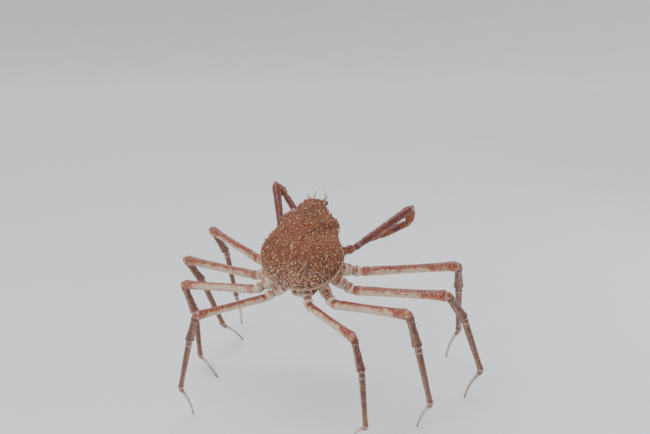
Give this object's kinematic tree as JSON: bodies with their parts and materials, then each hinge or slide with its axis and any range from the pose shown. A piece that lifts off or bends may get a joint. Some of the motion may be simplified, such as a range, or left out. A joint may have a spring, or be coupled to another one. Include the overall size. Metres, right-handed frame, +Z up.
{
  "type": "japanese spider crab",
  "caption": "Japanese spider crab standing on its long legs, granular pear-shaped shell tipped head up, slim claws folded; a still life-size model.",
  "frame": {"origin": "on the floor, under the middle of the animal's bounding box", "axes": "+Y the way the crab heads, +X its right side, +Z up"},
  "size_m": [1.0148, 0.6559, 0.6333],
  "materials": {
    "shell": "orange-red horn with pale granules",
    "belly": "pale cream horn",
    "leg": "orange-red above, cream mottled below",
    "shank": "brownish orange with pale stripes",
    "joint": "whitish horn with orange patches",
    "claw": "dark red rough horn",
    "toe": "pale horn with a dark tip",
    "eye": "glossy black",
    "feeler": "pinkish horn"
  },
  "bodies": {
    "root": {"apron": "belly", "breast": "belly", "claw_left_arm": "claw", "claw_left_finger": "claw", "claw_left_hip": "claw", "claw_left_palm": "claw", "claw_left_wrist": "claw", "claw_right_arm": "claw", "claw_right_finger": "claw", "claw_right_hip": "claw", "claw_right_palm": "claw", "claw_right_wrist": "claw", "eye_left": "eye", "eye_right": "eye", "feeler_left": "feeler", "feeler_right": "feeler", "leg_left_1_hip": "joint", "leg_left_1_shank": "shank", "leg_left_1_thigh": "leg", "leg_left_1_toe": "toe", "leg_left_1_wrist": "leg", "leg_left_2_hip": "joint", "leg_left_2_shank": "shank", "leg_left_2_thigh": "leg", "leg_left_2_toe": "toe", "leg_left_2_wrist": "leg", "leg_left_3_hip": "joint", "leg_left_3_shank": "shank", "leg_left_3_thigh": "leg", "leg_left_3_toe": "toe", "leg_left_3_wrist": "leg", "leg_left_4_hip": "joint", "leg_left_4_shank": "shank", "leg_left_4_thigh": "leg", "leg_left_4_toe": "toe", "leg_left_4_wrist": "leg", "leg_right_1_hip": "joint", "leg_right_1_shank": "shank", "leg_right_1_thigh": "leg", "leg_right_1_toe": "toe", "leg_right_1_wrist": "leg", "leg_right_2_hip": "joint", "leg_right_2_shank": "shank", "leg_right_2_thigh": "leg", "leg_right_2_toe": "toe", "leg_right_2_wrist": "leg", "leg_right_3_hip": "joint", "leg_right_3_shank": "shank", "leg_right_3_thigh": "leg", "leg_right_3_toe": "toe", "leg_right_3_wrist": "leg", "leg_right_4_hip": "joint", "leg_right_4_shank": "shank", "leg_right_4_thigh": "leg", "leg_right_4_toe": "toe", "leg_right_4_wrist": "leg", "mouth": "belly", "shell": "shell"}
  },
  "joints": []
}
